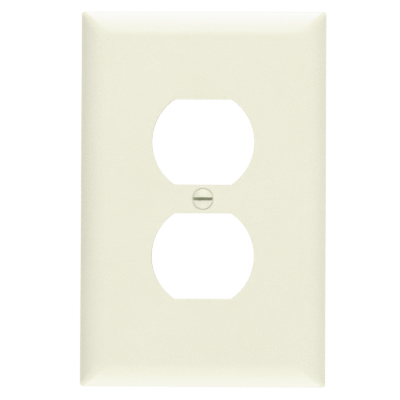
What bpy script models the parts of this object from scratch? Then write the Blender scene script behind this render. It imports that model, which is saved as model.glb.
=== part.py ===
"""Oversize cover plate for a duplex wall outlet, with its slotted oval-head screw.

World frame, in metres: the wall is the plane y = 0, the plate's front faces -Y, +Z is up,
and the screw's axis is the line x = z = 0. The screw goes in along +Y.
"""
import math

import bmesh
import bpy
from mathutils import Matrix, Vector

# Plate outline, measured at its back rim
PLATE_WIDTH = 0.0841
PLATE_HEIGHT = 0.1286
PLATE_DEPTH = 0.0058
PLATE_WALL = 0.0022
RIM_WALL = 0.0016
CORNER_RADIUS = 0.0012
CORNER_STEPS = 3

# The crown is an arc that leaves the flat field this far in from the edge, down to a small front edge
CROWN_WIDTH = 0.0093
CROWN_RADIUS = 0.0127
CROWN_STEPS = 8
SIDE_DRAFT = 0.00012
EDGE_INSET = 0.0005
EDGE_DROP = 0.0004

# Receptacle openings: circles with a flat above and below
OPENING_SPACING = 0.0389
OPENING_RADIUS = 0.01735
OPENING_FLAT_HEIGHT = 0.0288
OPENING_SIDES = 56

# Raised work on the back of the face
COLLAR_WALL = 0.0012
COLLAR_HEIGHT = 0.0014
BOSS_RADIUS = 0.0047
BOSS_HEIGHT = 0.0026
RIB_WALL = 0.0011
RIB_HEIGHT = 0.0012
CROSS_RIB_HEIGHT = 0.00118
RIB_SPREAD = 0.0255
RIB_CLEARANCE = 0.0060
JOIN_OVERLAP = 0.0005

# Screw: number 6, 32 threads to the inch, half an inch under the head's rim
THREAD_PITCH = 0.0254 / 32
SHANK_RADIUS = 0.001753
HEAD_RADIUS = 0.0034
HEAD_RIM = 0.00015
DOME_HEIGHT = 0.0009
DOME_STEPS = 5
CONE_HALF_ANGLE = math.radians(41.0)
SCREW_LENGTH = 0.0127
TIP_CHAMFER = 0.0005
SLOT_WIDTH = 0.00105
SLOT_DEPTH = 0.0016
ROUND_STEPS = 40

# Screw hole: a shallow oblong dish, a round conical seat, then an oblong hole whose two half
# circles stand a little apart, so the plate can shift on its screw
DISH_RADIUS = 0.0036
DISH_DEPTH = 0.00038
SEAT_RADIUS = 0.00345
HOLE_RADIUS = 0.0020
HOLE_SHIFT = 0.0005
HOLE_STEP = 0.0002

# Captive washer on the thread, free to come forward as far as the boss
RETAINER_RADIUS = 0.0040
RETAINER_HOLE_RADIUS = 0.00206
RETAINER_THICKNESS = 0.0008
RELEASE_TURNS = 4
RETAINER_GAP = RELEASE_TURNS * THREAD_PITCH + 0.0003

FACE_Y = -PLATE_DEPTH
FACE_BACK_Y = FACE_Y + PLATE_WALL
BOSS_BACK_Y = FACE_BACK_Y + BOSS_HEIGHT
CUT_MARGIN = 0.0010
MERGE_DISTANCE = 0.00001
SHARP_ANGLE = math.radians(30.0)
TOWARDS_FRONT = Matrix.Rotation(math.radians(90.0), 4, "X")


def clear_scene():
    """Remove whatever the file opened with."""
    for item in list(bpy.data.objects):
        bpy.data.objects.remove(item, do_unlink=True)


def new_collection(name):
    """Add a collection to the scene."""
    collection = bpy.data.collections.new(name)
    bpy.context.scene.collection.children.link(collection)
    return collection


def plain_material(name, color, roughness, metallic=0.0):
    """Make a Principled material."""
    material = bpy.data.materials.new(name)
    material.use_nodes = True
    shader = material.node_tree.nodes["Principled BSDF"]
    shader.inputs["Base Color"].default_value = (*color, 1.0)
    shader.inputs["Roughness"].default_value = roughness
    shader.inputs["Metallic"].default_value = metallic
    return material


def new_object(name, bm, collection):
    """Turn a bmesh into an object."""
    mesh = bpy.data.meshes.new(name)
    bm.to_mesh(mesh)
    bm.free()
    item = bpy.data.objects.new(name, mesh)
    collection.objects.link(item)
    return item


def as_cutter(item):
    """Mark an object as one that only shapes others."""
    item.hide_render = True
    item.display_type = "WIRE"
    return item


def boolean(item, other, operation):
    """Cut or join another solid, exactly."""
    step = item.modifiers.new(f"{operation.lower()}_{other.name}", "BOOLEAN")
    step.operation = operation
    step.object = other
    step.solver = "EXACT"


def crown_sections(draw_in, sink):
    """Give the plate's sections, as (inset, y), from the top of its side wall to its flat field.

    draw_in shrinks them all round and sink moves them towards the wall, which turns the
    outer form into the hollow's.
    """
    steepest = math.asin((CROWN_WIDTH - EDGE_INSET) / CROWN_RADIUS)
    arc = []
    for step in range(CROWN_STEPS + 1):
        angle = steepest * (1.0 - step / CROWN_STEPS)
        inset = CROWN_WIDTH - CROWN_RADIUS * math.sin(angle)
        arc.append((inset, FACE_Y + CROWN_RADIUS * (1.0 - math.cos(angle))))
    side_top = (SIDE_DRAFT, arc[0][1] + EDGE_DROP)
    return [(inset + draw_in, y + sink) for inset, y in [side_top] + arc]


def crowned_block(name, back_inset, back_y, sections, collection):
    """Draw the front face of a round-cornered slab through the sections."""
    half = Vector((PLATE_WIDTH / 2 - back_inset, 0.0, PLATE_HEIGHT / 2 - back_inset))
    bm = bmesh.new()
    bmesh.ops.create_cube(bm, size=1.0)
    for vert in bm.verts:
        y = back_y if vert.co.y > 0 else sections[0][1]
        vert.co = Vector((math.copysign(half.x, vert.co.x), y, math.copysign(half.z, vert.co.z)))
    corners = [edge for edge in bm.edges if edge.verts[0].co.xz == edge.verts[1].co.xz]
    bmesh.ops.bevel(
        bm, geom=corners, offset=CORNER_RADIUS, segments=CORNER_STEPS, profile=0.5, affect="EDGES"
    )
    front = min(bm.faces, key=lambda face: face.calc_center_median().y)
    placed = back_inset
    for index, (inset, y) in enumerate(sections):
        if index:
            grown = bmesh.ops.extrude_face_region(bm, geom=[front])["geom"]
            bmesh.ops.delete(bm, geom=[front], context="FACES_ONLY")
            front = next(item for item in grown if isinstance(item, bmesh.types.BMFace))
        for vert in front.verts:
            vert.co.x -= math.copysign(inset - placed, vert.co.x)
            vert.co.z -= math.copysign(inset - placed, vert.co.z)
            vert.co.y = y
        placed = inset
    bmesh.ops.recalc_face_normals(bm, faces=bm.faces)
    return new_object(name, bm, collection)


def flatted_round(name, radius, flat_height, near_y, far_y, height_z, collection):
    """Make a round bar along Y with a flat above and below."""
    bm = bmesh.new()
    bmesh.ops.create_cone(
        bm,
        cap_ends=True,
        segments=OPENING_SIDES,
        radius1=radius,
        radius2=radius,
        depth=far_y - near_y,
        matrix=TOWARDS_FRONT,
    )
    for direction in (-1.0, 1.0):
        cut = bmesh.ops.bisect_plane(
            bm,
            geom=bm.verts[:] + bm.edges[:] + bm.faces[:],
            plane_co=(0.0, 0.0, direction * flat_height / 2),
            plane_no=(0.0, 0.0, direction),
            clear_outer=True,
        )
        rim = [item for item in cut["geom_cut"] if isinstance(item, bmesh.types.BMEdge)]
        bmesh.ops.holes_fill(bm, edges=rim)
    bmesh.ops.translate(bm, verts=bm.verts, vec=(0.0, (near_y + far_y) / 2, height_z))
    bmesh.ops.recalc_face_normals(bm, faces=bm.faces)
    return new_object(name, bm, collection)


def box(name, low, high, collection):
    """Make a box between two corners."""
    bm = bmesh.new()
    bmesh.ops.create_cube(bm, size=1.0)
    for vert in bm.verts:
        vert.co = Vector(high[axis] if vert.co[axis] > 0 else low[axis] for axis in range(3))
    return new_object(name, bm, collection)


def turned(name, profile, collection):
    """Spin a profile of (radius, height) points, given top to bottom, about the screw's axis.

    Heights count forwards from the plate's front plane.
    """
    bm = bmesh.new()
    points = [bm.verts.new((radius, 0.0, height)) for radius, height in profile]
    for first, second in zip(points, points[1:]):
        bm.edges.new((first, second))
    item = new_object(name, bm, collection)
    spin = item.modifiers.new("spin", "SCREW")
    spin.angle = math.tau
    spin.steps = ROUND_STEPS
    spin.render_steps = ROUND_STEPS
    spin.use_merge_vertices = True
    spin.merge_threshold = MERGE_DISTANCE
    item.matrix_world = Matrix.Translation((0.0, FACE_Y, 0.0)) @ TOWARDS_FRONT
    return item


def screw_hole_cutter(collection):
    """Draw a round face through the hole's stations, its upper half raised and its lower half dropped.

    Each station is a radius, how far the halves stand from the axis, and its y.
    """
    seat_y = FACE_Y + DISH_DEPTH
    neck_y = seat_y + (SEAT_RADIUS - HOLE_RADIUS) / math.tan(CONE_HALF_ANGLE)
    stations = [
        (DISH_RADIUS, HOLE_SHIFT, FACE_Y - CUT_MARGIN),
        (DISH_RADIUS, HOLE_SHIFT, FACE_Y),
        (SEAT_RADIUS, 0.0, seat_y),
        (HOLE_RADIUS, 0.0, neck_y),
        (HOLE_RADIUS, HOLE_SHIFT, neck_y + HOLE_STEP),
        (HOLE_RADIUS, HOLE_SHIFT, BOSS_BACK_Y + CUT_MARGIN),
    ]
    bm = bmesh.new()
    half_step = Matrix.Rotation(math.radians(180.0 / ROUND_STEPS), 4, "Z")
    bmesh.ops.create_circle(
        bm, cap_ends=True, segments=ROUND_STEPS, radius=1.0, matrix=TOWARDS_FRONT @ half_step
    )
    moving = bm.faces[:][0]
    last_radius = 1.0
    last_shift = 0.0
    for index, (radius, shift, y) in enumerate(stations):
        if index:
            grown = bmesh.ops.extrude_face_region(bm, geom=[moving])["geom"]
            if index > 1:
                bmesh.ops.delete(bm, geom=[moving], context="FACES_ONLY")
            moving = next(item for item in grown if isinstance(item, bmesh.types.BMFace))
        for vert in moving.verts:
            half = math.copysign(1.0, vert.co.z)
            vert.co.x *= radius / last_radius
            vert.co.z = (vert.co.z - half * last_shift) * radius / last_radius + half * shift
            vert.co.y = y
        last_radius = radius
        last_shift = shift
    bmesh.ops.recalc_face_normals(bm, faces=bm.faces)
    return as_cutter(new_object("screw_hole_cutter", bm, collection))


def build_plate(material, parts, cutters):
    """Make the moulded plate: shell, collars, boss and ribs, then its openings."""
    plate = crowned_block("wall_plate", 0.0, 0.0, crown_sections(0.0, 0.0), parts)
    hollow = crowned_block(
        "hollow_cutter", RIM_WALL, CUT_MARGIN, crown_sections(RIM_WALL, PLATE_WALL), cutters
    )
    boolean(plate, as_cutter(hollow), "DIFFERENCE")

    root_y = FACE_BACK_Y - JOIN_OVERLAP
    rib_reach = PLATE_HEIGHT / 2 - CROWN_WIDTH - RIM_WALL
    rib_end_z = OPENING_SPACING / 2 + OPENING_FLAT_HEIGHT / 2 + RIB_CLEARANCE
    raised = []
    for side, sign in (("right", 1.0), ("left", -1.0)):
        x = sign * RIB_SPREAD
        low = (x - RIB_WALL / 2, root_y, -rib_reach)
        high = (x + RIB_WALL / 2, FACE_BACK_Y + RIB_HEIGHT, rib_reach)
        raised.append(box(f"rib_{side}", low, high, cutters))
    for place, z in (("top", rib_end_z), ("middle", 0.0), ("bottom", -rib_end_z)):
        low = (-RIB_SPREAD, root_y, z - RIB_WALL / 2)
        high = (RIB_SPREAD, FACE_BACK_Y + CROSS_RIB_HEIGHT, z + RIB_WALL / 2)
        raised.append(box(f"rib_{place}", low, high, cutters))
    for place, sign in (("upper", 1.0), ("lower", -1.0)):
        raised.append(
            flatted_round(
                f"collar_{place}",
                OPENING_RADIUS + COLLAR_WALL,
                OPENING_FLAT_HEIGHT + 2 * COLLAR_WALL,
                root_y,
                FACE_BACK_Y + COLLAR_HEIGHT,
                sign * OPENING_SPACING / 2,
                cutters,
            )
        )
    raised.append(
        flatted_round("screw_boss", BOSS_RADIUS, 2 * BOSS_RADIUS, root_y, BOSS_BACK_Y, 0.0, cutters)
    )
    for item in raised:
        boolean(plate, as_cutter(item), "UNION")

    for place, sign in (("upper", 1.0), ("lower", -1.0)):
        opening = flatted_round(
            f"opening_cutter_{place}",
            OPENING_RADIUS,
            OPENING_FLAT_HEIGHT,
            FACE_Y - CUT_MARGIN,
            CUT_MARGIN,
            sign * OPENING_SPACING / 2,
            cutters,
        )
        boolean(plate, as_cutter(opening), "DIFFERENCE")
    boolean(plate, screw_hole_cutter(cutters), "DIFFERENCE")
    plate.data.materials.append(material)
    return plate


def dome_points():
    """Give the head's domed top as an arc, from its middle to its rim."""
    sphere = (HEAD_RADIUS**2 + DOME_HEIGHT**2) / (2 * DOME_HEIGHT)
    spread = math.asin(HEAD_RADIUS / sphere)
    points = []
    for step in range(DOME_STEPS + 1):
        angle = spread * step / DOME_STEPS
        points.append((sphere * math.sin(angle), sphere * (math.cos(angle) - 1.0) + DOME_HEIGHT))
    return points


def build_screw(material, parts, cutters):
    """Make the oval-head screw and cut its slot."""
    cone_depth = (HEAD_RADIUS - SHANK_RADIUS) / math.tan(CONE_HALF_ANGLE)
    profile = dome_points()
    profile += [
        (HEAD_RADIUS, -HEAD_RIM),
        (SHANK_RADIUS, -HEAD_RIM - cone_depth),
        (SHANK_RADIUS, TIP_CHAMFER - SCREW_LENGTH),
        (SHANK_RADIUS - TIP_CHAMFER, -SCREW_LENGTH),
        (0.0, -SCREW_LENGTH),
    ]
    screw = turned("plate_screw", profile, parts)
    reach = HEAD_RADIUS + CUT_MARGIN
    slot_front = FACE_Y - DOME_HEIGHT
    slot = box(
        "slot_cutter",
        (-reach, slot_front - CUT_MARGIN, -SLOT_WIDTH / 2),
        (reach, slot_front + SLOT_DEPTH, SLOT_WIDTH / 2),
        cutters,
    )
    boolean(screw, as_cutter(slot), "DIFFERENCE")
    screw.data.materials.append(material)
    screw.data.shade_smooth()
    screw.data.set_sharp_from_angle(angle=SHARP_ANGLE)
    return screw


def build_retainer(material, parts):
    """Make the captive washer, a flat ring on the thread behind the boss."""
    front = FACE_Y - (BOSS_BACK_Y + RETAINER_GAP)
    back = front - RETAINER_THICKNESS
    profile = [
        (RETAINER_HOLE_RADIUS, front),
        (RETAINER_RADIUS, front),
        (RETAINER_RADIUS, back),
        (RETAINER_HOLE_RADIUS, back),
        (RETAINER_HOLE_RADIUS, front),
    ]
    retainer = turned("screw_retainer", profile, parts)
    retainer.data.materials.append(material)
    retainer.data.shade_smooth()
    retainer.data.set_sharp_from_angle(angle=SHARP_ANGLE)
    return retainer


def main():
    """Build the cover plate, its screw and the washer that keeps the screw in it."""
    clear_scene()
    parts = new_collection("duplex_cover_plate")
    cutters = new_collection("cutters")
    almond = plain_material("almond_plastic", (0.80, 0.79, 0.66), 0.35)
    painted = plain_material("almond_paint", (0.78, 0.77, 0.64), 0.30)
    fibre = plain_material("washer_plastic", (0.72, 0.71, 0.66), 0.55)
    build_plate(almond, parts, cutters)
    build_screw(painted, parts, cutters)
    build_retainer(fibre, parts)


main()
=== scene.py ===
"""The looks of the duplex cover plate: satin plastic, a painted slotted screw, soft studio light.

Everything is in metres in the frame's own axes: the wall is y = 0, the plate faces -Y, +Z is up,
and the screw's axis is the line x = z = 0.
"""
import math

import bmesh
import bpy
from mathutils import Matrix, Vector


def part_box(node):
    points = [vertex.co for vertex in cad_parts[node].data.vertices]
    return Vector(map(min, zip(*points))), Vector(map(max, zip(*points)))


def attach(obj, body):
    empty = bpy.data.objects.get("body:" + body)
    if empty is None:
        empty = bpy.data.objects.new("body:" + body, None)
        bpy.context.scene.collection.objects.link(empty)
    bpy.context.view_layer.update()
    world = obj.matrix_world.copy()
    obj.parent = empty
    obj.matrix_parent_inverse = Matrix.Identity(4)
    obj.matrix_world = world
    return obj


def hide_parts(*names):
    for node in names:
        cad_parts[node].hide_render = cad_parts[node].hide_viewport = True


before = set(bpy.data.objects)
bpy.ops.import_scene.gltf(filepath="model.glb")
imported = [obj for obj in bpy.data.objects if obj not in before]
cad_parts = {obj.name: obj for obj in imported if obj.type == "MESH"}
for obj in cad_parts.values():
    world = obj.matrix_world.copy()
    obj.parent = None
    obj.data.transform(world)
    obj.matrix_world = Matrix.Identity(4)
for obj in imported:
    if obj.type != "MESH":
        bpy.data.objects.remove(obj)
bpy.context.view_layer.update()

PLATE_LOW, PLATE_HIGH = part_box("wall_plate")
SCREW_LOW, SCREW_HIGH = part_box("plate_screw")
WASHER_LOW, WASHER_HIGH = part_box("screw_retainer")

QUARTER = math.radians(90.0)

# Plate: outline and depth from the frame, the rest as moulded
HALF_WIDTH = PLATE_HIGH.x
HALF_HEIGHT = PLATE_HIGH.z
FACE_Y = PLATE_LOW.y
WALL = 0.0022
RIM_WALL = 0.0016
CORNER_RADIUS = 0.0012
CORNER_SPREAD = 0.30
CORNER_STEPS = 10
CROWN_WIDTH = 0.0093
CROWN_RADIUS = 0.0127
CROWN_STEPS = 36
SIDE_DRAFT = 0.00012
EDGE_INSET = 0.00050
EDGE_DROP = 0.00040
EDGE_STEPS = 6
EDGE_BULGE = 0.10
FACE_BACK_Y = FACE_Y + WALL
HOLLOW_BACK_Y = 0.0020

# Openings and the raised work behind them
OPENING_Z = 0.0389 / 2
OPENING_RADIUS = 0.0173
OPENING_HALF_HEIGHT = 0.0288 / 2
OPENING_CORNER = 0.0004
OPENING_STEPS = 72
OPENING_CORNER_STEPS = 6
LIP_RADIUS = 0.00022
LIP_STEPS = 6
COLLAR_WALL = 0.0012
COLLAR_HEIGHT = 0.0014
COLLAR_CORNER = 0.0010
BOSS_RADIUS = 0.0047
BOSS_HEIGHT = 0.0026
RIB_HALF_WALL = 0.00055
RIB_HEIGHT = 0.0012
CROSS_RIB_HEIGHT = RIB_HEIGHT * 0.98
RIB_X = 0.0255
RIB_END_Z = OPENING_Z + OPENING_HALF_HEIGHT + 0.0060
JOIN = 0.0005
OVERCUT = 0.0005

# Flared roots of the raised work, each a little different so that no two surfaces coincide
RIB_FILLET = 0.00030
CROSS_RIB_FILLET = 0.00031
COLLAR_FILLET = 0.00032
BOSS_FILLET = 0.00033
RIB_ROUNDING = 0.00015
COLLAR_ROUNDING = 0.00020
FILLET_STEPS = 5

# Screw hole: an oblong dish, a conical seat drawn out a little up and down, an oblong through hole
DISH_RADIUS = 0.0036
DISH_DEPTH = 0.00022
SEAT_RADIUS = 0.00342
SEAT_LIP = 0.00004
SEAT_LIP_SHIFT = (0.00025, 0.00032)
SEAT_SHIFT = (0.00018, 0.00026)
HOLE_RADIUS = 0.0020
HOLE_SHIFT = (0.0005, 0.0005)
HOLE_STEP = 0.0002
HOLE_CHAMFER = 0.00025
CONE_HALF_ANGLE = math.radians(41.0)
ROUND_STEPS = 96

# Screw
HEAD_RADIUS = 0.0034
DOME_HEIGHT = FACE_Y - SCREW_LOW.y
DOME_STEPS = 24
DOME_SHARE = 0.985  # the dome's rows stop just short of the rim, which rounds it
HEAD_RIM = 0.00015
RIM_SOFTNESS = 0.00003
CONE_STEPS = 8
SHANK_RADIUS = 0.001753
THREAD_PITCH = 0.0254 / 32
THREAD_DEPTH = 0.00046
THREAD_ROWS = 12
THREAD_FLAT = 0.1
TIP_CHAMFER = 0.0006
TIP_DRAW_IN = 0.00045
SLOT_WIDTH = 0.00105
SLOT_DEPTH = 0.0016
SLOT_REACH = HEAD_RADIUS + 0.0005
SLOT_MOUTH_DEPTH = 0.00025
SLOT_MOUTH_FLARE = 0.00004
SLOT_CLEAR_HEIGHT = 0.0004
SLOT_CLEAR_FLARE = 0.00045
SLOT_CORNER = 0.0001
PAINT_DEPTH = 0.0011

# Washer
WASHER_CLEARANCE = 0.00004
WASHER_ROUNDING = 0.00012

# Sharpest angle that is shaded smooth, in degrees
PLATE_SMOOTH = 32.0
SCREW_SMOOTH = 35.0
WASHER_SMOOTH = 50.0

# Colours, each as its darker and its lighter shade
PLATE_COLORS = (0.797, 0.787, 0.648), (0.807, 0.797, 0.659)
PLATE_RUBBED = (0.822, 0.813, 0.690)
ENAMEL_COLORS = (0.760, 0.750, 0.620), (0.800, 0.790, 0.655)
# The slot's colours are painted shade: their darkness stands in for the shade deep in the slot
SLOT_PAINTED_SHADE_COLORS = (0.440, 0.470, 0.320), (0.620, 0.650, 0.460)
ZINC_COLORS = (0.52, 0.53, 0.54), (0.66, 0.67, 0.67)
WASHER_COLORS = (0.66, 0.65, 0.60), (0.76, 0.75, 0.70)
FLOOR_COLORS = (0.88, 0.88, 0.87), (0.92, 0.92, 0.91)

# Roughness, each as its lowest and its highest
PLATE_ROUGHNESS = (0.258, 0.278)
MARKS_ROUGHNESS = (0.0, 0.008)
ENAMEL_ROUGHNESS = (0.24, 0.34)
ZINC_ROUGHNESS = (0.24, 0.42)
DULL_ROUGHNESS = (0.45, 0.60)
FLOOR_ROUGHNESS = 0.7
PLATE_IOR = 1.58

# Parts of a noise's range that a ramp spreads out
MIDDLE = (0.3, 0.7)
CLOUDS = (0.35, 0.65)

# Rubbing along the plate's edges: from this far inside the outline to that far, and its polish
RUB_START = 0.0008
RUB_FULL = 0.0001
RUB_POLISH = 0.05

# Camera and backdrop
CAMERA_DISTANCE = 0.700
CAMERA_LENS = 185.5
CAMERA_FILM = 36.0
CAMERA_NEAR = 0.01
CAMERA_FAR = 50.0
CAMERA_ROLL = math.radians(0.27)
CAMERA_RISE = math.radians(-0.74)
CAMERA_TURN = math.radians(1.48)
AIM_OFFSET = Vector((-0.00094, 0.0, -0.00037))
FLOOR_Z = -1.20
FLOOR_REACH = 12.0

# Light of the surroundings: towards a direction, from a low cosine to a high one, up to a level
BACKDROP = 1.7
SURROUNDINGS = (
    ((-1.0, 0.0, 0.0), 0.2, 0.9, 0.17),
    ((1.0, 0.0, 0.0), 0.2, 0.9, 0.48),
    ((0.0, -1.0, 0.0), 0.3, 0.95, 0.715),
    ((0.0, 1.0, 0.0), 0.1, 0.6, 0.10),
    ((0.0, 0.5, 0.87), 0.3, 1.0, 1.2),
)

# Soft boxes in an arc over and under the plate: name, degrees above square on, distance, width,
# height, watts
SOFTBOXES = (
    ("softbox_over_105", 105.0, 1.3, 0.46, 0.34, 2.01),
    ("softbox_over_90", 90.0, 1.3, 0.46, 0.34, 1.81),
    ("softbox_over_75", 75.0, 1.3, 0.46, 0.34, 1.84),
    ("softbox_over_60", 60.0, 1.3, 0.46, 0.34, 1.74),
    ("softbox_over_45", 45.0, 1.3, 0.80, 0.34, 1.89),
    ("softbox_over_30", 30.0, 1.3, 0.80, 0.34, 1.96),
    ("softbox_under_30", -30.0, 1.1, 0.70, 0.29, 0.585),
    ("softbox_under_45", -45.0, 1.1, 0.70, 0.29, 0.621),
    ("softbox_under_60", -60.0, 1.1, 0.42, 0.29, 0.686),
    ("softbox_under_75", -75.0, 1.1, 0.42, 0.29, 0.763),
    ("softbox_under_90", -90.0, 1.1, 0.42, 0.29, 0.771),
    ("softbox_under_105", -105.0, 1.1, 0.42, 0.29, 0.731),
)

# Film: scene light up to the shoulder is kept as it is, then eased off to white
SHOULDER = 0.84
FILM_WHITE = 1.7
FILM_RANGE = 2.0
FILM_POINTS = (SHOULDER, 0.88, 0.93, 1.0, 1.1, 1.2, 1.35, 1.5, FILM_WHITE)

# ---------------------------------------------------------------- mesh helpers

def link(name, mesh):
    """Put a mesh into the scene as an object."""
    piece = bpy.data.objects.new(name, mesh)
    bpy.context.scene.collection.objects.link(piece)
    return piece


def from_bmesh(name, bm):
    """Turn a bmesh into an object, its faces pointing out."""
    bmesh.ops.recalc_face_normals(bm, faces=bm.faces)
    mesh = bpy.data.meshes.new(name)
    bm.to_mesh(mesh)
    bm.free()
    return link(name, mesh)


def loft(name, rings):
    """Skin closed rings of points, each with as many points as the next, and cap both ends."""
    bm = bmesh.new()
    rows = [[bm.verts.new(point) for point in ring] for ring in rings]
    count = len(rows[0])
    for first, second in zip(rows, rows[1:]):
        for index in range(count):
            after = (index + 1) % count
            bm.faces.new((first[index], first[after], second[after], second[index]))
    bm.faces.new(rows[0])
    bm.faces.new(list(reversed(rows[-1])))
    return from_bmesh(name, bm)


def combine(piece, other, operation):
    """Cut or join another solid into a piece, for good."""
    step = piece.modifiers.new("combine", "BOOLEAN")
    step.operation = operation
    step.object = other
    step.solver = "EXACT"
    bpy.context.view_layer.update()
    graph = bpy.context.evaluated_depsgraph_get()
    mesh = bpy.data.meshes.new_from_object(piece.evaluated_get(graph))
    piece.modifiers.clear()
    old = piece.data
    piece.data = mesh
    bpy.data.meshes.remove(old)
    bpy.data.objects.remove(other, do_unlink=True)


def smooth(piece, degrees):
    """Shade a piece smooth between its sharper edges, its flats kept flat."""
    piece.data.shade_smooth()
    piece.data.set_sharp_from_angle(angle=math.radians(degrees))
    weigh = piece.modifiers.new("flat_fields", "WEIGHTED_NORMAL")
    weigh.mode = "FACE_AREA"
    weigh.weight = 100
    weigh.keep_sharp = True


# ---------------------------------------------------------------- outlines

def rounded_rectangle(half_width, half_height, radius, y):
    """Give an upright rectangle with round corners."""
    points = []
    for corner in range(4):
        side = 1.0 if corner in (0, 3) else -1.0
        end = 1.0 if corner < 2 else -1.0
        centre = Vector((side * (half_width - radius), y, end * (half_height - radius)))
        for step in range(CORNER_STEPS + 1):
            angle = QUARTER * (corner + step / CORNER_STEPS)
            points.append(centre + Vector((radius * math.cos(angle), 0.0, radius * math.sin(angle))))
    return points


def flatted_circle(centre_z, radius, flat, corner, y):
    """Give a circle with a flat above and below, the four corners between them just rounded.

    The rounding's circle touches the flat and, from inside, the arc.
    """
    lift = flat - corner
    reach = math.sqrt((radius - corner) ** 2 - lift**2)
    turn = math.atan2(lift, reach)
    rest = QUARTER - turn
    points = []
    for side in (1.0, -1.0):
        for step in range(OPENING_STEPS + 1):
            angle = -turn + 2.0 * turn * step / OPENING_STEPS
            points.append((side * radius * math.cos(angle), side * radius * math.sin(angle)))
        for step in range(1, OPENING_CORNER_STEPS + 1):
            angle = turn + rest * step / OPENING_CORNER_STEPS
            x = reach + corner * math.cos(angle)
            points.append((side * x, side * (lift + corner * math.sin(angle))))
        for step in range(OPENING_CORNER_STEPS):
            angle = QUARTER + rest * step / OPENING_CORNER_STEPS
            x = -reach + corner * math.cos(angle)
            points.append((side * x, side * (lift + corner * math.sin(angle))))
    return [Vector((x, y, centre_z + z)) for x, z in points]


def stretched_circle(radius, shift, y):
    """Give a circle whose upper half is raised and whose lower half is dropped, each by its shift."""
    up, down = shift
    points = []
    for step in range(ROUND_STEPS):
        angle = math.tau * (step + 0.5) / ROUND_STEPS
        z = radius * math.sin(angle)
        points.append(Vector((radius * math.cos(angle), y, z + (up if z > 0.0 else -down))))
    return points


# ---------------------------------------------------------------- plate

def crown_profile():
    """Give the outer form's sections from the back rim to the flat field, as (inset, y)."""
    steepest = math.asin((CROWN_WIDTH - EDGE_INSET) / CROWN_RADIUS)
    start_y = FACE_Y + CROWN_RADIUS * (1.0 - math.cos(steepest))
    side_top = start_y + EDGE_DROP
    sections = [(0.0, 0.0), (SIDE_DRAFT * 0.5, side_top * 0.5)]
    corner = Vector((SIDE_DRAFT, start_y + EDGE_DROP * EDGE_BULGE))
    low = Vector((SIDE_DRAFT, side_top))
    high = Vector((EDGE_INSET, start_y))
    for step in range(EDGE_STEPS + 1):
        share = step / EDGE_STEPS
        point = low * (1 - share) ** 2 + corner * 2 * share * (1 - share) + high * share**2
        sections.append((point.x, point.y))
    for step in range(1, CROWN_STEPS + 1):
        angle = steepest * (1.0 - step / CROWN_STEPS)
        inset = CROWN_WIDTH - CROWN_RADIUS * math.sin(angle)
        sections.append((inset, FACE_Y + CROWN_RADIUS * (1.0 - math.cos(angle))))
    return sections


def crowned_solid(name, draw_in, sink, back_y):
    """Loft the plate's outer form, or its hollow when drawn in and sunk towards the wall."""
    rings = []
    for index, (inset, y) in enumerate(crown_profile()):
        radius = CORNER_RADIUS + CORNER_SPREAD * inset
        half_width = HALF_WIDTH - inset - draw_in
        half_height = HALF_HEIGHT - inset - draw_in
        ring_y = back_y if index == 0 else y + sink
        rings.append(rounded_rectangle(half_width, half_height, radius, ring_y))
    return loft(name, rings)


def opening_ring(centre_z, grow, corner, y):
    """Give an opening's outline, drawn out by grow."""
    return flatted_circle(centre_z, OPENING_RADIUS + grow, OPENING_HALF_HEIGHT + grow, corner + grow, y)


def opening_cutter(centre_z):
    """Make an opening's cutter, flared at the front face and at the collar's back."""
    back_y = FACE_BACK_Y + COLLAR_HEIGHT
    rings = []
    for step in range(LIP_STEPS + 1):
        angle = QUARTER * step / LIP_STEPS
        grow = LIP_RADIUS * (1.0 - math.sin(angle))
        y = FACE_Y + LIP_RADIUS * (1.0 - math.cos(angle))
        rings.append(opening_ring(centre_z, grow, OPENING_CORNER, y))
    front = [point + Vector((0.0, -OVERCUT, 0.0)) for point in rings[0]]
    back = [Vector((point.x, back_y - LIP_RADIUS, point.z)) for point in rings[-1]]
    rings = [front] + rings + [back]
    for step in range(1, LIP_STEPS + 1):
        angle = QUARTER * step / LIP_STEPS
        grow = LIP_RADIUS * (1.0 - math.cos(angle))
        y = back_y - LIP_RADIUS * (1.0 - math.sin(angle))
        rings.append(opening_ring(centre_z, grow, OPENING_CORNER, y))
    rings.append([point + Vector((0.0, OVERCUT, 0.0)) for point in rings[-1]])
    return loft("opening_cutter", rings)


def raised_form(name, outline, top_y, fillet, rounding):
    """Loft a raised form from a flared root inside the face to a rounded top.

    outline(grow, y) gives its ring, drawn out by grow.
    """
    rings = [outline(fillet, FACE_BACK_Y - JOIN)]
    for step in range(FILLET_STEPS + 1):
        angle = QUARTER * step / FILLET_STEPS
        y = FACE_BACK_Y + fillet * (1.0 - math.cos(angle))
        rings.append(outline(fillet * (1.0 - math.sin(angle)), y))
    for step in range(FILLET_STEPS + 1):
        angle = QUARTER * step / FILLET_STEPS
        y = top_y - rounding * (1.0 - math.sin(angle))
        rings.append(outline(-rounding * (1.0 - math.cos(angle)), y))
    return loft(name, rings)


def bar_outline(low_x, high_x, low_z, high_z):
    """Give a ring function for a rib, its ends rounded by half its half width."""
    def ring(grow, y):
        half_x = (high_x - low_x) / 2 + grow
        half_z = (high_z - low_z) / 2 + grow
        middle = Vector(((low_x + high_x) / 2, 0.0, (low_z + high_z) / 2))
        radius = min(half_x, half_z) / 2
        return [point + middle for point in rounded_rectangle(half_x, half_z, radius, y)]
    return ring


def collar_outline(centre_z):
    """Give a ring function for the collar around an opening."""
    def ring(grow, y):
        return opening_ring(centre_z, COLLAR_WALL + grow, COLLAR_CORNER, y)
    return ring


def boss_outline(grow, y):
    """Give the boss's ring."""
    return stretched_circle(BOSS_RADIUS + grow, (0.0, 0.0), y)


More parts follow.
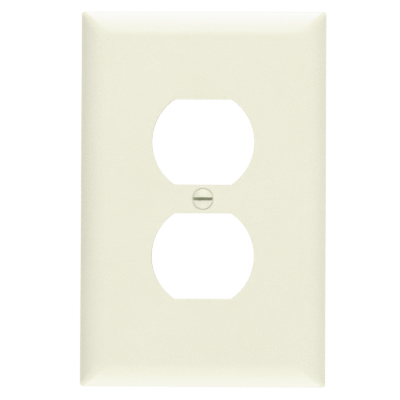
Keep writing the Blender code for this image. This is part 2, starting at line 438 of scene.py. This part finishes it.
def build_plate():
    """Make the cover plate as one closed moulding."""
    plate = crowned_solid("cover_plate", 0.0, 0.0, 0.0)
    hollow = crowned_solid("hollow", RIM_WALL, WALL, HOLLOW_BACK_Y)
    combine(plate, hollow, "DIFFERENCE")
    reach = HALF_HEIGHT - CROWN_WIDTH - RIM_WALL
    for x in (RIB_X, -RIB_X):
        ring = bar_outline(x - RIB_HALF_WALL, x + RIB_HALF_WALL, -reach, reach)
        rib = raised_form("rib", ring, FACE_BACK_Y + RIB_HEIGHT, RIB_FILLET, RIB_ROUNDING)
        combine(plate, rib, "UNION")
    for z in (RIB_END_Z, 0.0, -RIB_END_Z):
        ring = bar_outline(-RIB_X, RIB_X, z - RIB_HALF_WALL, z + RIB_HALF_WALL)
        top_y = FACE_BACK_Y + CROSS_RIB_HEIGHT
        rib = raised_form("rib", ring, top_y, CROSS_RIB_FILLET, RIB_ROUNDING)
        combine(plate, rib, "UNION")
    for z in (OPENING_Z, -OPENING_Z):
        top_y = FACE_BACK_Y + COLLAR_HEIGHT
        collar = raised_form("collar", collar_outline(z), top_y, COLLAR_FILLET, COLLAR_ROUNDING)
        combine(plate, collar, "UNION")
    boss = raised_form("boss", boss_outline, FACE_BACK_Y + BOSS_HEIGHT, BOSS_FILLET, COLLAR_ROUNDING)
    combine(plate, boss, "UNION")
    for z in (OPENING_Z, -OPENING_Z):
        combine(plate, opening_cutter(z), "DIFFERENCE")
    combine(plate, screw_hole_cutter(), "DIFFERENCE")
    smooth(plate, PLATE_SMOOTH)
    return plate


def screw_hole_cutter():
    """Make the screw hole's cutter from stations of (radius, shift, y), front to back.

    The dish's edge is rounded, the cone starts at the seat, and the hole is chamfered at the back.
    """
    seat_y = FACE_Y + DISH_DEPTH
    neck_y = seat_y + (SEAT_RADIUS - HOLE_RADIUS) / math.tan(CONE_HALF_ANGLE)
    back_y = FACE_BACK_Y + BOSS_HEIGHT
    stations = [
        (DISH_RADIUS + LIP_RADIUS, HOLE_SHIFT, FACE_Y - OVERCUT),
        (DISH_RADIUS + LIP_RADIUS, HOLE_SHIFT, FACE_Y),
        (DISH_RADIUS + 0.35 * LIP_RADIUS, HOLE_SHIFT, FACE_Y + 0.15 * LIP_RADIUS),
        (DISH_RADIUS - 0.3 * LIP_RADIUS, HOLE_SHIFT, FACE_Y + 0.5 * LIP_RADIUS),
        (SEAT_RADIUS + SEAT_LIP, SEAT_LIP_SHIFT, seat_y - SEAT_LIP / 2),
        (SEAT_RADIUS, SEAT_SHIFT, seat_y + SEAT_LIP * 0.75),
        (HOLE_RADIUS, (0.0, 0.0), neck_y),
        (HOLE_RADIUS, HOLE_SHIFT, neck_y + HOLE_STEP),
        (HOLE_RADIUS, HOLE_SHIFT, back_y - HOLE_CHAMFER),
        (HOLE_RADIUS + HOLE_CHAMFER, HOLE_SHIFT, back_y),
        (HOLE_RADIUS + HOLE_CHAMFER + OVERCUT, HOLE_SHIFT, back_y + OVERCUT),
    ]
    return loft("screw_hole", [stretched_circle(radius, shift, y) for radius, shift, y in stations])


# ---------------------------------------------------------------- screw and washer

def screw_rows():
    """Give the screw's rows from the dome's middle to the tip, as (radius, y, thread share)."""
    sphere = (HEAD_RADIUS**2 + DOME_HEIGHT**2) / (2 * DOME_HEIGHT)
    spread = math.asin(HEAD_RADIUS / sphere) * DOME_SHARE
    rows = []
    for step in range(1, DOME_STEPS + 1):
        angle = spread * step / DOME_STEPS
        y = FACE_Y - DOME_HEIGHT + sphere * (1 - math.cos(angle))
        rows.append((sphere * math.sin(angle), y, 0.0))
    rim_low = FACE_Y + HEAD_RIM
    rows.append((HEAD_RADIUS, FACE_Y + RIM_SOFTNESS, 0.0))
    rows.append((HEAD_RADIUS, rim_low - RIM_SOFTNESS, 0.0))
    drop = HEAD_RADIUS - SHANK_RADIUS
    cone_depth = drop / math.tan(CONE_HALF_ANGLE)
    for step in range(CONE_STEPS + 1):
        share = step / CONE_STEPS
        rows.append((HEAD_RADIUS - RIM_SOFTNESS - drop * share, rim_low + cone_depth * share, 0.0))
    thread_start = rim_low + cone_depth
    length = SCREW_HIGH.y - thread_start
    count = int(length / THREAD_PITCH * THREAD_ROWS)
    for step in range(1, count + 1):
        y = thread_start + length * step / count
        fade = min(1.0, step / THREAD_ROWS)
        taper = max(0.0, (y - SCREW_HIGH.y + TIP_CHAMFER) / TIP_CHAMFER)
        rows.append((SHANK_RADIUS - TIP_DRAW_IN * taper, y, fade))
    return rows


def thread_crest(phase):
    """Give how far up the thread's flank a phase lies, from 0 in the flat root to 1 on the crest."""
    rise = 1.0 - abs(2.0 * phase - 1.0)
    return min(1.0, max(0.0, (rise - THREAD_FLAT) / (1.0 - 2.0 * THREAD_FLAT)))


def build_screw():
    """Make the screw: domed head, cone and a real helical thread, then cut its slot."""
    bm = bmesh.new()
    rings = []
    for radius, y, share in screw_rows():
        ring = []
        for column in range(ROUND_STEPS):
            turn = column / ROUND_STEPS
            crest = thread_crest((y / THREAD_PITCH + turn) % 1.0)
            reach = radius - THREAD_DEPTH * share * (1.0 - crest)
            angle = math.tau * turn
            ring.append(bm.verts.new((reach * math.cos(angle), y, reach * math.sin(angle))))
        rings.append(ring)
    for first, second in zip(rings, rings[1:]):
        for column in range(ROUND_STEPS):
            after = (column + 1) % ROUND_STEPS
            bm.faces.new((first[column], first[after], second[after], second[column]))
    crown = bm.verts.new((0.0, FACE_Y - DOME_HEIGHT, 0.0))
    for column in range(ROUND_STEPS):
        bm.faces.new((crown, rings[0][(column + 1) % ROUND_STEPS], rings[0][column]))
    bm.faces.new(list(reversed(rings[-1])))
    screw = from_bmesh("slotted_screw", bm)
    combine(screw, slot_cutter(), "DIFFERENCE")
    smooth(screw, SCREW_SMOOTH)
    return screw


def slot_cutter():
    """Make the slot's cutter: a bar across the head, flared a little at its mouth."""
    front_y = FACE_Y - DOME_HEIGHT
    floor_y = front_y + SLOT_DEPTH
    half = SLOT_WIDTH / 2
    upper = [
        (front_y - SLOT_CLEAR_HEIGHT, half + SLOT_CLEAR_FLARE),
        (front_y + 0.00002, half + SLOT_MOUTH_FLARE),
        (front_y + SLOT_MOUTH_DEPTH, half),
        (floor_y - SLOT_CORNER, half),
        (floor_y, half - SLOT_CORNER),
    ]
    section = upper + [(y, -z) for y, z in reversed(upper)]
    ends = (-SLOT_REACH, SLOT_REACH)
    return loft("slot", [[Vector((x, y, z)) for y, z in section] for x in ends])


def screw_surface(polygon):
    """Tell the painted head (0), the plated shank (1) and the slot's walls and floor (2) apart; the
    slot's walls and floor get painted shade.
    """
    x, y, z = polygon.center
    slack = 0.00001
    below_dome = 0.00012
    floor_y = SCREW_LOW.y + SLOT_DEPTH
    dome_y = FACE_Y - DOME_HEIGHT * (1.0 - (x / HEAD_RADIUS) ** 2)
    inside = abs(z) < SLOT_WIDTH / 2 + slack and y < floor_y + slack
    if inside and y > dome_y + below_dome:
        return 2
    return 1 if y > FACE_Y + PAINT_DEPTH else 0


def build_washer():
    """Make the captive washer: a thin ring with rounded edges."""
    outer = WASHER_HIGH.x
    inner = SHANK_RADIUS + WASHER_CLEARANCE
    soft = WASHER_ROUNDING
    low_y = WASHER_LOW.y
    high_y = WASHER_HIGH.y
    profile = [
        (inner, low_y + soft),
        (inner + soft, low_y),
        (outer - soft, low_y),
        (outer, low_y + soft),
        (outer, high_y - soft),
        (outer - soft, high_y),
        (inner + soft, high_y),
        (inner, high_y - soft),
    ]
    bm = bmesh.new()
    rings = []
    for column in range(ROUND_STEPS):
        angle = math.tau * column / ROUND_STEPS
        rings.append([bm.verts.new((r * math.cos(angle), y, r * math.sin(angle))) for r, y in profile])
    for column in range(ROUND_STEPS):
        first, second = rings[column], rings[(column + 1) % ROUND_STEPS]
        for index in range(len(profile)):
            after = (index + 1) % len(profile)
            bm.faces.new((first[index], first[after], second[after], second[index]))
    washer = from_bmesh("captive_washer", bm)
    smooth(washer, WASHER_SMOOTH)
    return washer


# ---------------------------------------------------------------- materials

def new_material(name):
    """Start a Principled material; give it, its nodes, links, shader and object coordinates."""
    material = bpy.data.materials.new(name)
    material.use_nodes = True
    nodes = material.node_tree.nodes
    place = nodes.new("ShaderNodeTexCoord").outputs["Object"]
    return material, nodes, material.node_tree.links, nodes["Principled BSDF"], place


def noise(nodes, links, place, scale, detail):
    """Add a noise texture, its scale per metre."""
    texture = nodes.new("ShaderNodeTexNoise")
    texture.inputs["Scale"].default_value = scale
    texture.inputs["Detail"].default_value = detail
    links.new(place, texture.inputs["Vector"])
    return texture.outputs["Fac"]


def ramp(nodes, links, value, window, span=(0.0, 1.0), easing="LINEAR"):
    """Map a value from a window of its range to a span."""
    step = nodes.new("ShaderNodeMapRange")
    step.interpolation_type = easing
    step.inputs["From Min"].default_value = window[0]
    step.inputs["From Max"].default_value = window[1]
    step.inputs["To Min"].default_value = span[0]
    step.inputs["To Max"].default_value = span[1]
    links.new(value, step.inputs["Value"])
    return step.outputs["Result"]


def mix_colors(nodes, links, share, first, second):
    """Blend two colours by a value; the first may come from another node."""
    step = nodes.new("ShaderNodeMix")
    step.data_type = "RGBA"
    if isinstance(first, tuple):
        step.inputs["A"].default_value = (*first, 1.0)
    else:
        links.new(first, step.inputs["A"])
    step.inputs["B"].default_value = (*second, 1.0)
    links.new(share, step.inputs["Factor"])
    return step.outputs["Result"]


def bump(nodes, links, shader, height, strength, distance):
    """Add a bump to the shader's normal, its distance in metres."""
    step = nodes.new("ShaderNodeBump")
    step.inputs["Strength"].default_value = strength
    step.inputs["Distance"].default_value = distance
    links.new(height, step.inputs["Height"])
    links.new(step.outputs["Normal"], shader.inputs["Normal"])


def arithmetic(nodes, links, operation, first, second):
    """Combine two values; the second may be a plain number."""
    step = nodes.new("ShaderNodeMath")
    step.operation = operation
    links.new(first, step.inputs[0])
    if isinstance(second, float):
        step.inputs[1].default_value = second
    else:
        links.new(second, step.inputs[1])
    return step.outputs["Value"]


def edge_rub(nodes, links, place):
    """Give the patchy share of rubbing along the plate's outer edges, from 0 to 1."""
    parts = nodes.new("ShaderNodeSeparateXYZ")
    links.new(place, parts.inputs["Vector"])
    across = arithmetic(nodes, links, "ABSOLUTE", parts.outputs["X"], 0.0)
    along = arithmetic(nodes, links, "ABSOLUTE", parts.outputs["Z"], 0.0)
    near_side = ramp(nodes, links, across, (HALF_WIDTH - RUB_START, HALF_WIDTH - RUB_FULL))
    near_end = ramp(nodes, links, along, (HALF_HEIGHT - RUB_START, HALF_HEIGHT - RUB_FULL))
    near = arithmetic(nodes, links, "MAXIMUM", near_side, near_end)
    patches = ramp(nodes, links, noise(nodes, links, place, 420.0, 4.0), (0.42, 0.60))
    return arithmetic(nodes, links, "MULTIPLY", near, patches)


def moulded_plastic():
    """Satin moulded plastic: flow clouds in its colour, handling marks in its gloss, rubbed edges."""
    material, nodes, links, shader, place = new_material("almond_moulded_plastic")
    clouds = ramp(nodes, links, noise(nodes, links, place, 38.0, 3.0), CLOUDS)
    flow = mix_colors(nodes, links, clouds, *PLATE_COLORS)
    rub = edge_rub(nodes, links, place)
    tint = mix_colors(nodes, links, rub, flow, PLATE_RUBBED)
    links.new(tint, shader.inputs["Base Color"])
    texture = ramp(nodes, links, noise(nodes, links, place, 2600.0, 2.0), MIDDLE, PLATE_ROUGHNESS)
    marks = ramp(nodes, links, noise(nodes, links, place, 60.0, 3.0), (0.45, 0.70), MARKS_ROUGHNESS)
    unrubbed = arithmetic(nodes, links, "ADD", texture, marks)
    polish = arithmetic(nodes, links, "MULTIPLY", rub, RUB_POLISH)
    links.new(arithmetic(nodes, links, "SUBTRACT", unrubbed, polish), shader.inputs["Roughness"])
    grain = noise(nodes, links, place, 5200.0, 1.0)
    bump(nodes, links, shader, grain, 0.04, 0.00001)
    shader.inputs["IOR"].default_value = PLATE_IOR
    return material


def painted_head():
    """Almond enamel over the screw's turned head."""
    material, nodes, links, shader, place = new_material("almond_enamel")
    clouds = noise(nodes, links, place, 400.0, 3.0)
    tint = mix_colors(nodes, links, ramp(nodes, links, clouds, CLOUDS), *ENAMEL_COLORS)
    links.new(tint, shader.inputs["Base Color"])
    links.new(ramp(nodes, links, clouds, MIDDLE, ENAMEL_ROUGHNESS), shader.inputs["Roughness"])
    orange_peel = noise(nodes, links, place, 1500.0, 2.0)
    bump(nodes, links, shader, orange_peel, 0.25, 0.00004)
    return material


def slot_painted_shade():
    """Painted shade for the slot's walls and floor: a mottled dark grey-olive that stands in for the
    shade deep in the narrow slot, with dull gloss and a fine bump.
    """
    material, nodes, links, shader, place = new_material("dark_slot_painted_shade")
    slot_shade_mottle = noise(nodes, links, place, 900.0, 4.0)
    # Painted shade: the slot's dark tint, mottled by noise, stands in for the shade in the recess
    tint = mix_colors(nodes, links, ramp(nodes, links, slot_shade_mottle, (0.40, 0.65)), *SLOT_PAINTED_SHADE_COLORS)
    links.new(tint, shader.inputs["Base Color"])
    links.new(ramp(nodes, links, slot_shade_mottle, MIDDLE, DULL_ROUGHNESS), shader.inputs["Roughness"])
    bump(nodes, links, shader, slot_shade_mottle, 0.2, 0.00003)
    return material


def zinc_plate():
    """Zinc plating on the shank."""
    material, nodes, links, shader, place = new_material("zinc_plated_steel")
    clouds = noise(nodes, links, place, 500.0, 4.0)
    tint = mix_colors(nodes, links, clouds, *ZINC_COLORS)
    links.new(tint, shader.inputs["Base Color"])
    shader.inputs["Metallic"].default_value = 1.0
    links.new(ramp(nodes, links, clouds, MIDDLE, ZINC_ROUGHNESS), shader.inputs["Roughness"])
    return material


def washer_plastic():
    """Dull milky plastic for the washer."""
    material, nodes, links, shader, place = new_material("washer_nylon")
    clouds = noise(nodes, links, place, 600.0, 3.0)
    tint = mix_colors(nodes, links, clouds, *WASHER_COLORS)
    links.new(tint, shader.inputs["Base Color"])
    links.new(ramp(nodes, links, clouds, MIDDLE, DULL_ROUGHNESS), shader.inputs["Roughness"])
    bump(nodes, links, shader, clouds, 0.2, 0.00003)
    return material


# ---------------------------------------------------------------- stage

def softbox(name, elevation, distance, width, height, power):
    """Add a soft box in the plane x = 0, so many degrees above square on, aimed at the plate."""
    data = bpy.data.lights.new(name, "AREA")
    data.shape = "RECTANGLE"
    data.size = width
    data.size_y = height
    data.energy = power
    lamp = bpy.data.objects.new(name, data)
    bpy.context.scene.collection.objects.link(lamp)
    angle = math.radians(elevation)
    lamp.location = (0.0, -distance * math.cos(angle), distance * math.sin(angle))
    lamp.rotation_euler = (QUARTER - angle, 0.0, 0.0)
    lamp.visible_camera = False


def surroundings_light(nodes, links):
    """Add up the light that the surroundings send from each direction."""
    direction = nodes.new("ShaderNodeTexCoord").outputs["Generated"]
    total = None
    for towards, low, high, level in SURROUNDINGS:
        cosine = nodes.new("ShaderNodeVectorMath")
        cosine.operation = "DOT_PRODUCT"
        cosine.inputs[1].default_value = towards
        links.new(direction, cosine.inputs[0])
        span = (0.0, level)
        side = ramp(nodes, links, cosine.outputs["Value"], (low, high), span, "SMOOTHSTEP")
        total = side if total is None else arithmetic(nodes, links, "ADD", total, side)
    return total


def build_world():
    """A white backdrop for the camera; the object itself is lit by the dimmer surroundings."""
    world = bpy.data.worlds.new("studio")
    bpy.context.scene.world = world
    world.use_nodes = True
    nodes = world.node_tree.nodes
    links = world.node_tree.links
    background = nodes["Background"]
    background.inputs["Color"].default_value = (1.0, 1.0, 1.0, 1.0)
    path = nodes.new("ShaderNodeLightPath")
    strength = nodes.new("ShaderNodeMix")
    strength.data_type = "FLOAT"
    links.new(surroundings_light(nodes, links), strength.inputs["A"])
    strength.inputs["B"].default_value = BACKDROP
    links.new(path.outputs["Is Camera Ray"], strength.inputs["Factor"])
    links.new(strength.outputs["Result"], background.inputs["Strength"])


def build_floor():
    """A wide pale floor, well below the plate."""
    bm = bmesh.new()
    bmesh.ops.create_grid(bm, x_segments=1, y_segments=1, size=FLOOR_REACH)
    floor = from_bmesh("studio_floor", bm)
    floor.location = (0.0, 0.0, FLOOR_Z)
    material, nodes, links, shader, place = new_material("pale_floor")
    tone = mix_colors(nodes, links, noise(nodes, links, place, 3.0, 4.0), *FLOOR_COLORS)
    links.new(tone, shader.inputs["Base Color"])
    shader.inputs["Roughness"].default_value = FLOOR_ROUGHNESS
    floor.data.materials.append(material)


def build_camera():
    """The front camera: a long lens, a little below and to the right of square on."""
    data = bpy.data.cameras.new("front_camera")
    data.lens = CAMERA_LENS
    data.sensor_width = CAMERA_FILM
    data.clip_start = CAMERA_NEAR
    data.clip_end = CAMERA_FAR
    camera = bpy.data.objects.new("front_camera", data)
    bpy.context.scene.collection.objects.link(camera)
    aim = Vector((0.0, FACE_Y, 0.0)) + AIM_OFFSET
    level = math.cos(CAMERA_RISE)
    across = level * math.sin(CAMERA_TURN)
    away = Vector((across, -level * math.cos(CAMERA_TURN), math.sin(CAMERA_RISE)))
    camera.location = aim + away * CAMERA_DISTANCE
    camera.rotation_mode = "QUATERNION"
    look = (-away).to_track_quat("-Z", "Y")
    camera.rotation_quaternion = look @ Matrix.Rotation(CAMERA_ROLL, 3, "Z").to_quaternion()
    bpy.context.scene.camera = camera


def film_level(light):
    """Give the display level for a scene light."""
    if light <= SHOULDER:
        return light
    room = 1.0 - SHOULDER
    over = (light - SHOULDER) / room
    whole = (FILM_WHITE - SHOULDER) / room
    eased = 1.0 - room / (1.0 + over) + room / (1.0 + whole) * over / whole
    return min(1.0, eased)


def film_response():
    """Soften the highlights the way film does."""
    view = bpy.context.scene.view_settings
    view.view_transform = "Standard"
    view.look = "None"
    view.use_curve_mapping = True
    mapping = view.curve_mapping
    mapping.white_level = (FILM_RANGE, FILM_RANGE, FILM_RANGE)
    mapping.clip_max_x = 1.0
    mapping.clip_max_y = 1.0
    curve = mapping.curves[3]
    curve.points[0].location = (0.0, 0.0)
    curve.points[-1].location = (1.0, 1.0)
    for light in FILM_POINTS:
        curve.points.new(light / FILM_RANGE, film_level(light))
    for point in curve.points:
        point.handle_type = "VECTOR"
    mapping.update()


def build_stage():
    """Everything around the object."""
    film_response()
    build_camera()
    build_world()
    build_floor()
    for light in SOFTBOXES:
        softbox(*light)


# ---------------------------------------------------------------- put together

build_stage()

plate = build_plate()
plate.data.materials.clear()
plate.data.materials.append(moulded_plastic())
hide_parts("wall_plate")
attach(plate, "plate")

screw = build_screw()
screw.data.materials.clear()
screw.data.materials.append(painted_head())
screw.data.materials.append(zinc_plate())
# The slot's walls and floor get a dark material that is painted shade for the deep slot
screw.data.materials.append(slot_painted_shade())
for polygon in screw.data.polygons:
    polygon.material_index = screw_surface(polygon)
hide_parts("plate_screw")
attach(screw, "screw")

washer = build_washer()
washer.data.materials.append(washer_plastic())
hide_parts("screw_retainer")
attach(washer, "retainer")
